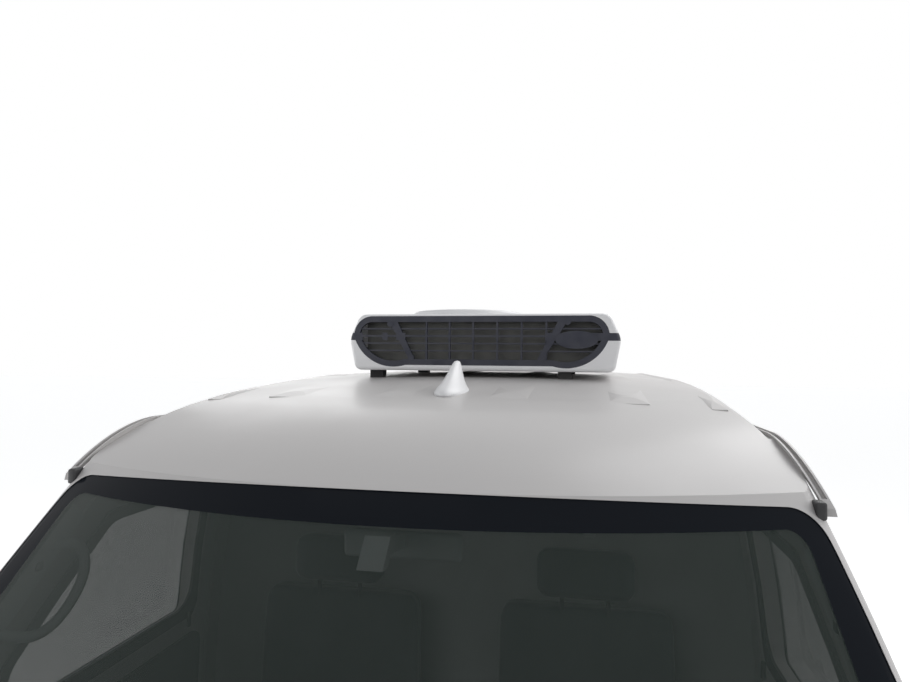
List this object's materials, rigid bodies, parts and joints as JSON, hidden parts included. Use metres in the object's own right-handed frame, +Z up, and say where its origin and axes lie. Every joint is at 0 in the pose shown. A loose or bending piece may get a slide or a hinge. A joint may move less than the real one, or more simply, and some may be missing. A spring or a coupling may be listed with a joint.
{
  "type": "cargo van",
  "caption": "Small cab-over cargo van with a roof cooling unit, opening doors, tailgate and hood, and steered wheels.",
  "frame": {"origin": "on the ground, midway along the van and on its centreline", "axes": "+Z up, the van faces -Y, +X to the van's left"},
  "size_m": [2.12, 4.695, 2.2129],
  "materials": {
    "body_paint": "gloss white paint, dusty",
    "roof_paint": "gloss white paint, dusty",
    "glazing": "tinted safety glass",
    "black_trim": "moulded, fine grain",
    "grey_bumper": "painted moulding",
    "lamp_lens": "clear and red lenses",
    "drip_metal": "gloss white paint",
    "underbody": "black chassis paint",
    "cast_parts": "rough cast",
    "bare_steel": "dull steel",
    "wheel_steel": "silver paint",
    "tyre_rubber": "road rubber",
    "seat_cloth": "woven dark grey",
    "dash_plastic": "grained",
    "unit_white": "white moulding, weathered",
    "unit_navy": "dark navy moulding",
    "coil_fins": "dull fins",
    "foot_rubber": "plain black rubber",
    "lining": "smooth lining board"
  },
  "bodies": {
    "body": {"body_side_left": "body_paint", "body_side_right": "body_paint", "roof_panel": "roof_paint", "drip_rails": "drip_metal", "nose_panel": "body_paint", "cowl_panel": "black_trim", "wipers": "black_trim", "windscreen": "glazing", "bumpers": "grey_bumper", "front_grille": "black_trim", "lamps": "lamp_lens", "sliding_door": "body_paint", "cab_floor": "underbody", "load_floor": "underbody", "bulkhead": "lining", "chassis_frame": "underbody", "rear_axle": "cast_parts", "suspension": "underbody", "engine_block": "cast_parts", "exhaust_pipe": "bare_steel", "fuel_tank": "underbody", "spare_wheel": "tyre_rubber", "seats": "seat_cloth", "dashboard": "dash_plastic", "interior_mirror": "black_trim", "cooling_unit_housing": "unit_white", "cooling_unit_grille": "unit_navy", "condenser_coil": "coil_fins", "antenna_fin": "body_paint", "unit_feet": "foot_rubber"},
    "door_left_body": {"door_left": "body_paint", "door_glass_left": "glazing", "door_mirror_left": "black_trim"},
    "door_right_body": {"door_right": "body_paint", "door_glass_right": "glazing", "door_mirror_right": "black_trim"},
    "tailgate_body": {"tailgate": "body_paint", "tailgate_glass": "glazing"},
    "hood_body": {"hood_lid": "body_paint"},
    "fan_body": {"condenser_fan": "black_trim"},
    "steering_wheel_body": {"steering_wheel": "dash_plastic"},
    "knuckle_left_body": {"knuckle_left": "cast_parts"},
    "knuckle_right_body": {"knuckle_right": "cast_parts"},
    "wheel_front_left_body": {"tyre_front_left": "tyre_rubber", "wheel_front_left": "wheel_steel"},
    "wheel_rear_left_body": {"tyre_rear_left": "tyre_rubber", "wheel_rear_left": "wheel_steel"},
    "wheel_front_right_body": {"tyre_front_right": "tyre_rubber", "wheel_front_right": "wheel_steel"},
    "wheel_rear_right_body": {"tyre_rear_right": "tyre_rubber", "wheel_rear_right": "wheel_steel"}
  },
  "joints": [
    {"name": "door_left_hinge", "type": "hinge", "parent": "body", "child": "door_left_body", "pos_m": [0.84, -1.7195, 0.855], "axis": [0, 0, -1], "range_deg": [0, 65]},
    {"name": "door_right_hinge", "type": "hinge", "parent": "body", "child": "door_right_body", "pos_m": [-0.84, -1.7195, 0.855], "axis": [0, 0, 1], "range_deg": [0, 65]},
    {"name": "tailgate_hinge", "type": "hinge", "parent": "body", "child": "tailgate_body", "pos_m": [0, 2.2045, 1.888], "axis": [1, 0, 0], "range_deg": [0, 85]},
    {"name": "hood_hinge", "type": "hinge", "parent": "body", "child": "hood_body", "pos_m": [0, -2.0025, 1.092], "axis": [-1, 0, 0], "range_deg": [0, 50]},
    {"name": "condenser_fan_spin", "type": "hinge", "parent": "body", "child": "fan_body", "pos_m": [-0.11, 0.1225, 2.171], "axis": [0, 0, 1], "continuous": true},
    {"name": "steer_left", "type": "hinge", "parent": "body", "child": "knuckle_left_body", "pos_m": [0.665, -1.2075, 0.337], "axis": [0, 0, 1], "range_deg": [-33, 33]},
    {"name": "steer_right", "type": "hinge", "parent": "body", "child": "knuckle_right_body", "pos_m": [-0.665, -1.2075, 0.337], "axis": [0, 0, 1], "range_deg": [-33, 33]},
    {"name": "steering_wheel_turn", "type": "hinge", "parent": "body", "child": "steering_wheel_body", "pos_m": [0.36, -1.5075, 1.075], "axis": [0, 0.6428, 0.766], "range_deg": [-495, 495]},
    {"name": "spin_front_left", "type": "hinge", "parent": "knuckle_left_body", "child": "wheel_front_left_body", "pos_m": [0.735, -1.2075, 0.337], "axis": [1, 0, 0], "continuous": true},
    {"name": "spin_rear_left", "type": "hinge", "parent": "body", "child": "wheel_rear_left_body", "pos_m": [0.735, 1.3625, 0.337], "axis": [1, 0, 0], "continuous": true},
    {"name": "spin_front_right", "type": "hinge", "parent": "knuckle_right_body", "child": "wheel_front_right_body", "pos_m": [-0.735, -1.2075, 0.337], "axis": [1, 0, 0], "continuous": true},
    {"name": "spin_rear_right", "type": "hinge", "parent": "body", "child": "wheel_rear_right_body", "pos_m": [-0.735, 1.3625, 0.337], "axis": [1, 0, 0], "continuous": true}
  ],
  "couplings": [
    {"joint": "steer_right", "follows": "steer_left", "ratio": 1},
    {"joint": "steering_wheel_turn", "follows": "steer_left", "ratio": 15}
  ]
}
